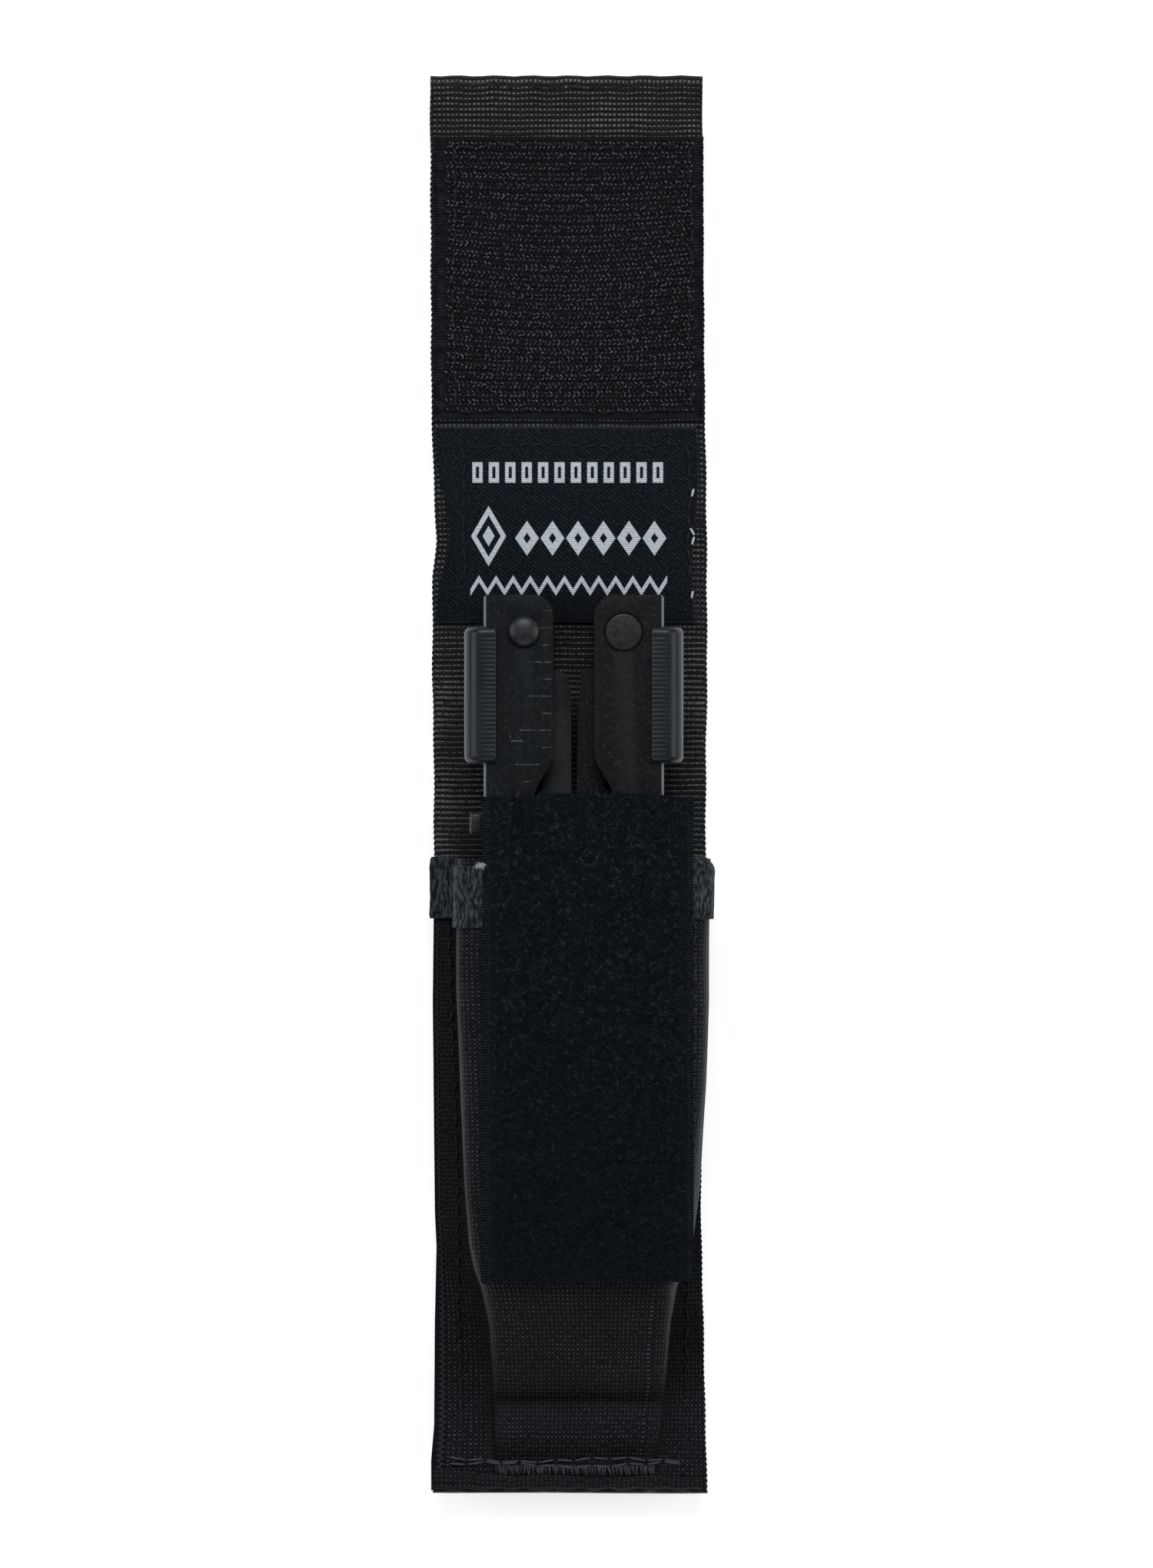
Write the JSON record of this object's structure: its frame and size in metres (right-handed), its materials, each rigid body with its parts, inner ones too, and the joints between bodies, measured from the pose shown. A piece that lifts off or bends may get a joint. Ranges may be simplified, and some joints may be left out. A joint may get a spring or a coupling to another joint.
{
  "type": "multi tool in belt sheath",
  "caption": "Folding plier multi-tool with sliding jaws, stowed front end up in an open black webbing belt sheath with a hook-and-loop flap.",
  "frame": {"origin": "centre of the whole object's footprint, on the surface its belt loop rests on", "axes": "+X to the right across the webbing, +Y along the sheath towards the flap's end, +Z out of the sheath's front"},
  "size_m": [0.0533, 0.2654, 0.0362],
  "materials": {
    "black_webbing": "woven nylon webbing",
    "black_hook_tape": "moulded hook tape",
    "black_loop_tape": "brushed loop tape",
    "black_cordura": "plain-weave nylon",
    "grey_binding": "worn binding tape",
    "label_satin": "woven satin label",
    "oxide_steel": "black oxide",
    "dark_steel": "black oxide, smooth",
    "blade_steel": "brushed",
    "spring_steel": "bright",
    "grip_polymer": "moulded, ribbed"
  },
  "bodies": {
    "sheath": {"backing_webbing": "black_webbing", "belt_loop": "black_webbing", "label_lower": "label_satin", "pouch": "black_cordura", "mouth_binding": "grey_binding", "loop_panel": "black_loop_tape"},
    "flap": {"flap_webbing": "black_webbing", "label_upper": "label_satin", "hook_panel": "black_hook_tape"},
    "tool": {"left_handle": "oxide_steel", "right_handle": "oxide_steel", "left_front_rivet": "dark_steel", "right_front_rivet": "dark_steel", "left_rear_pin": "dark_steel", "right_rear_pin": "dark_steel", "plain_blade": "blade_steel", "serrated_blade": "blade_steel", "file": "blade_steel", "small_screwdriver": "blade_steel", "large_screwdriver": "blade_steel", "can_opener": "blade_steel", "cross_screwdriver": "blade_steel", "medium_screwdriver": "blade_steel", "left_grip_spring": "spring_steel", "right_grip_spring": "spring_steel"},
    "head": {"left_jaw": "dark_steel", "right_jaw": "dark_steel", "plier_pivot": "dark_steel", "left_carrier": "dark_steel", "right_carrier": "dark_steel", "left_arm_pin": "dark_steel", "right_arm_pin": "dark_steel"},
    "left_grip": {"left_release_grip": "grip_polymer"},
    "right_grip": {"right_release_grip": "grip_polymer"},
    "left_slider": {"left_lock_slider": "dark_steel"},
    "right_slider": {"right_lock_slider": "dark_steel"}
  },
  "joints": [
    {"name": "flap_fold", "type": "hinge", "parent": "sheath", "child": "flap", "pos_m": [-0.00125, 0.0375, 0.0236], "axis": [-1, 0, 0], "range_deg": [-179.5, 0]},
    {"name": "tool_draw", "type": "slide", "parent": "sheath", "child": "tool", "axis": [0, 1, 0], "range_m": [0, 0.13]},
    {"name": "head_slide", "type": "slide", "parent": "tool", "child": "head", "axis": [0, 1, 0], "range_m": [0, 0.056]},
    {"name": "left_grip_press", "type": "slide", "parent": "tool", "child": "left_grip", "axis": [1, 0, 0], "range_m": [0, 0.001], "stiffness_N_per_m": 3000, "deforming": ["left_grip_spring"]},
    {"name": "right_grip_press", "type": "slide", "parent": "tool", "child": "right_grip", "axis": [-1, 0, 0], "range_m": [0, 0.001], "stiffness_N_per_m": 3000, "deforming": ["right_grip_spring"]},
    {"name": "left_lock_slide", "type": "slide", "parent": "tool", "child": "left_slider", "axis": [0, 1, 0], "range_m": [0, 0.004]},
    {"name": "right_lock_slide", "type": "slide", "parent": "tool", "child": "right_slider", "axis": [0, 1, 0], "range_m": [0, 0.004]}
  ]
}
